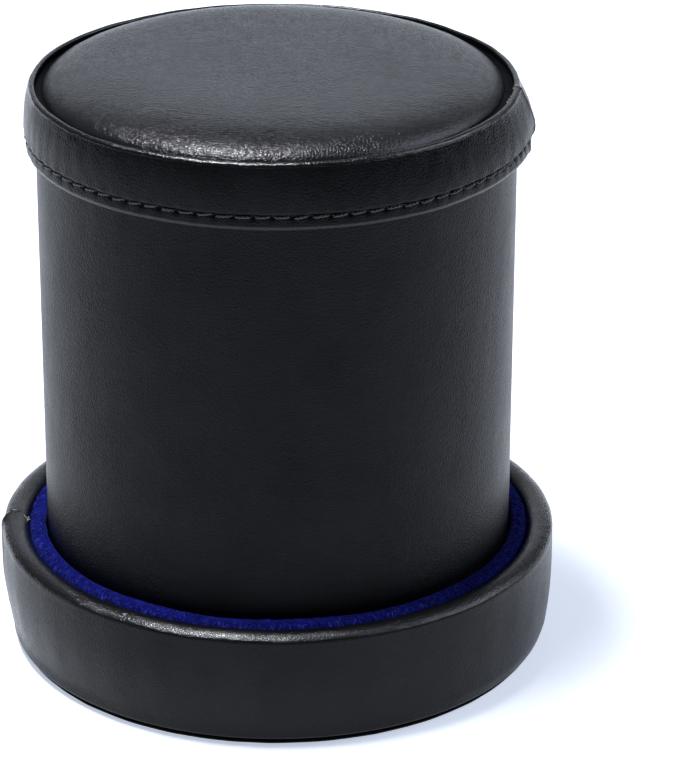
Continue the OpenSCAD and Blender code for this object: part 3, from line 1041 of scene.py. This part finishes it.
def liner_shape(theta, r, z):
    """The ring's nap, on its top only."""
    top = smooth_step(z, liner_top_z - 1.6 * MM, liner_top_z - 0.8 * MM)
    rough = wave(theta, 3 * r + z, 55, 34, 420, 0.0009)
    tufts = wave(theta, 3 * r + z, 56, 20, 130, 0.003)
    slow = wave(theta, r, 57, 8, 14, 0.01)
    dz = top * (0.10 * rough + 0.10 * tufts + 0.12 * slow) * MM
    dr = top * (0.07 * rough + 0.08 * tufts - 0.08) * MM
    return dr, dz


def build_liner():
    t = LINER_SKIN
    z0, round_z, skin_z = low("tray_liner_flannel").z, liner_top_z - LINER_ROUND, liner_top_z - t
    ridge_r = liner_in_r + LINER_LEAN * (liner_out_r - liner_in_r)
    shape = outline(
        ([(liner_in_r, z0), (liner_in_r, round_z)], 1.2 * MM),
        (arc((ridge_r, round_z), ridge_r - liner_in_r, LINER_ROUND, 180, 90), 0.12 * MM),
        (arc((ridge_r, round_z), liner_out_r - ridge_r, LINER_ROUND, 90, 0), 0.12 * MM),
        ([(liner_out_r, round_z), (liner_out_r, z0)], 3 * MM),
        ([(liner_out_r - t, z0), (liner_out_r - t, skin_z)], 5 * MM),
        ([(liner_in_r + t, skin_z), (liner_in_r + t, z0)], 5 * MM),
    )
    ring = turned("tray_liner_ring", shape, 1400, MATERIALS["flannel"], liner_shape)
    settle(ring, "tray", "blue_flannel", "tray_liner_flannel")


def build_lint():
    """Loose blue fibres that stand out of the ring's nap, most of them along its outer edge."""
    rng = np.random.default_rng(91)
    paths, radii = [], []
    u = np.linspace(0, 1, 6)
    middle_r, half_width = (liner_in_r + liner_out_r) / 2, (liner_out_r - liner_in_r) / 2
    for _ in range(LINT_COUNT):
        if rng.random() < 0.7:
            radius = liner_out_r - rng.uniform(0, 0.5) * MM
        else:
            radius = rng.uniform(liner_in_r + MM, liner_out_r)
        azimuth = rng.uniform(0, TAU)
        length = rng.uniform(0.35, 0.95) * MM
        turn = rng.uniform(0, TAU)
        rise = rng.uniform(0.05, 0.35) * MM
        bend = rng.normal() * 1.2
        x = radius + length * (u - 0.5) * math.cos(turn) + 0.2 * length * np.sin(math.pi * u) * bend
        sideways = length * (u - 0.5) * math.sin(turn)
        crown_dip = 0.9 * MM * ((x - middle_r) / half_width) ** 2
        z = liner_top_z - crown_dip + rise * np.sin(math.pi * u) + 0.06 * MM
        angle = azimuth + sideways / radius
        paths.append(np.stack([x * np.cos(angle), x * np.sin(angle), z], -1))
        radii.append(np.full(len(u), rng.uniform(0.016, 0.032) * MM))
    lint = tubes("tray_liner_lint", paths, radii, MATERIALS["lint"], 5)
    settle(lint, "tray", "blue_flannel")


def build_sole():
    radius, z1 = high("tray_sole").x, high("tray_sole").z
    soft = SOLE_ROUND

    def shift(theta, r, z):
        edge = smooth_step(r, radius - 0.8 * MM, radius)
        return edge * 0.05 * MM * (wave(theta, z, 58, 14, 60) - 1), 0 * z

    shape = outline(
        ([(0, 0), (radius - soft, 0)], 3 * MM),
        (arc((radius - soft, soft), soft, soft, -90, 0), 0.12 * MM),
        ([(radius, soft), (radius, z1), (0, z1)], 3 * MM),
    )
    sole = turned("tray_sole_disc", shape, 300, MATERIALS["rubber"], shift)
    settle(sole, "tray", "sole_rubber", "tray_sole")


def dress_cad():
    """Hidden card and board keep their CAD shape and get their own finish."""
    finish = {"grey_card": MATERIALS["card"], "base_board": MATERIALS["board"]}
    for part in frame["record"]["subparts"]:
        if part["material_slot"] in finish:
            for socket in frame["nodes"][part["node"]].material_slots:
                socket.material = finish[part["material_slot"]]


add_camera()
add_world()
for box in SOFTBOXES:
    add_softbox(*box)
add_floor()
build_pad()
build_band()
build_stitches()
build_loose_fibres()
build_cup()
build_linings()
build_tray_leather()
build_liner()
build_lint()
build_sole()
dress_cad()
